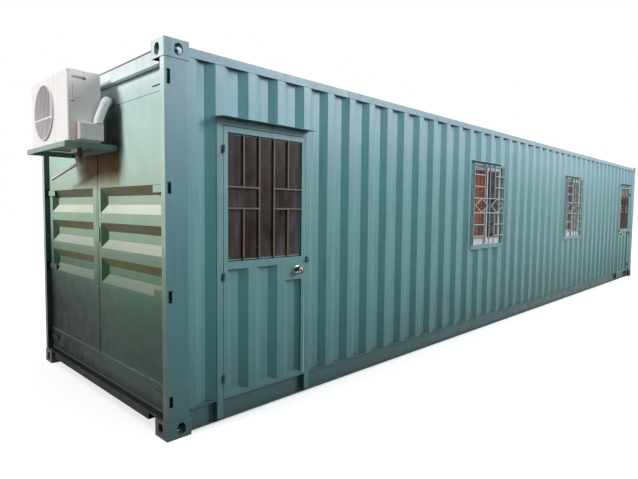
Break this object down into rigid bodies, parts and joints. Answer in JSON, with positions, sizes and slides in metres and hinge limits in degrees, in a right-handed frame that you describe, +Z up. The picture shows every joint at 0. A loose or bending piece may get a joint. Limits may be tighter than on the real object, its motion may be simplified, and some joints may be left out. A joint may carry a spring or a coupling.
{
  "type": "shipping container cabin",
  "caption": "Long steel shipping container fitted out as a cabin, with hinged glazed doors, grilled sliding windows and an outdoor air-conditioning unit on its end.",
  "frame": {"origin": "middle of the whole part's footprint, level with the undersides of the bottom corner castings", "axes": "+X along the length, away from the cargo-door end; -Y out of the wall with the doors and windows; +Z up"},
  "size_m": [12.514, 2.528, 2.591],
  "materials": {
    "frame_paint": "gloss paint",
    "wall_paint": "gloss paint",
    "end_paint": "weathered gloss paint",
    "underbody_paint": "bitumen paint",
    "floor_ply": "worn plywood",
    "lining_board": "painted board",
    "door_glass": "dark tint",
    "brass_bars": "satin",
    "hinge_steel": "dark paint",
    "knob_chrome": "polished",
    "window_white": "powder coat",
    "window_glass": "clear",
    "grille_white": "white paint",
    "curtain_cloth": "gathered curtain",
    "rod_steel": "satin",
    "shelf_paint": "paint over angle iron",
    "ac_case": "cream powder coat",
    "ac_fan": "moulded",
    "ac_guard": "coated wire",
    "pipe_wrap": "white tape wrap",
    "drain_plastic": "weathered plastic pipe"
  },
  "bodies": {
    "cabin": {"bottom_corner_castings": "frame_paint", "top_corner_castings": "frame_paint", "door_end_posts": "frame_paint", "far_end_posts": "frame_paint", "top_side_rails": "frame_paint", "bottom_side_rails": "frame_paint", "door_header": "end_paint", "door_sill": "end_paint", "far_end_rails": "frame_paint", "cross_members": "underbody_paint", "floor": "floor_ply", "front_wall": "wall_paint", "front_wall_over_doors": "wall_paint", "back_wall": "wall_paint", "far_end_wall": "wall_paint", "roof": "wall_paint", "front_lining": "lining_board", "back_lining": "lining_board", "end_linings": "lining_board", "ceiling": "lining_board", "end_door_right": "end_paint", "end_door_left": "end_paint", "end_door_hinges": "end_paint", "end_door_latch_plate": "end_paint", "drip_canopies": "frame_paint", "curtain_rods": "rod_steel", "ac_shelf": "shelf_paint", "ac_body": "ac_case", "ac_fan_guard": "ac_guard", "ac_valve_cover": "ac_case", "ac_pipes": "pipe_wrap", "ac_drain": "drain_plastic", "door_1_frame": "wall_paint", "door_1_hinge_pins": "hinge_steel", "window_1_frame": "wall_paint", "window_1_sash": "window_white", "window_1_glass": "window_glass", "window_1_grille": "grille_white", "window_1_curtain": "curtain_cloth", "door_2_frame": "wall_paint", "door_2_hinge_pins": "hinge_steel", "window_2_frame": "wall_paint", "window_2_sash": "window_white", "window_2_glass": "window_glass", "window_2_grille": "grille_white", "window_2_curtain": "curtain_cloth"},
    "door_1": {"door_1_leaf": "wall_paint", "door_1_glass": "door_glass", "door_1_bars": "brass_bars", "door_1_hinges": "hinge_steel"},
    "door_1_knob": {"door_1_knob": "knob_chrome"},
    "door_2": {"door_2_leaf": "wall_paint", "door_2_glass": "door_glass", "door_2_bars": "brass_bars", "door_2_hinges": "hinge_steel"},
    "door_2_knob": {"door_2_knob": "knob_chrome"},
    "ac_fan": {"ac_fan": "ac_fan"}
  },
  "joints": [
    {"name": "door_1_swing", "type": "hinge", "parent": "cabin", "child": "door_1", "pos_m": [-5.4965, -1.1805, 1.045], "axis": [0, 0, 1], "range_deg": [-110, 0]},
    {"name": "door_2_swing", "type": "hinge", "parent": "cabin", "child": "door_2", "pos_m": [5.8185, -1.1805, 1.045], "axis": [0, 0, 1], "range_deg": [0, 110]},
    {"name": "door_1_knob_turn", "type": "hinge", "parent": "door_1", "child": "door_1_knob", "pos_m": [-4.79, -1.174, 1.04], "axis": [0, -1, 0], "range_deg": [-60, 60], "stiffness_Nm_per_rad": 0.4},
    {"name": "door_2_knob_turn", "type": "hinge", "parent": "door_2", "child": "door_2_knob", "pos_m": [5.112, -1.174, 1.04], "axis": [0, -1, 0], "range_deg": [-60, 60], "stiffness_Nm_per_rad": 0.4},
    {"name": "fan_spin", "type": "hinge", "parent": "cabin", "child": "ac_fan", "pos_m": [-6.181, 0.129, 2.241], "axis": [-1, 0, 0], "continuous": true}
  ]
}
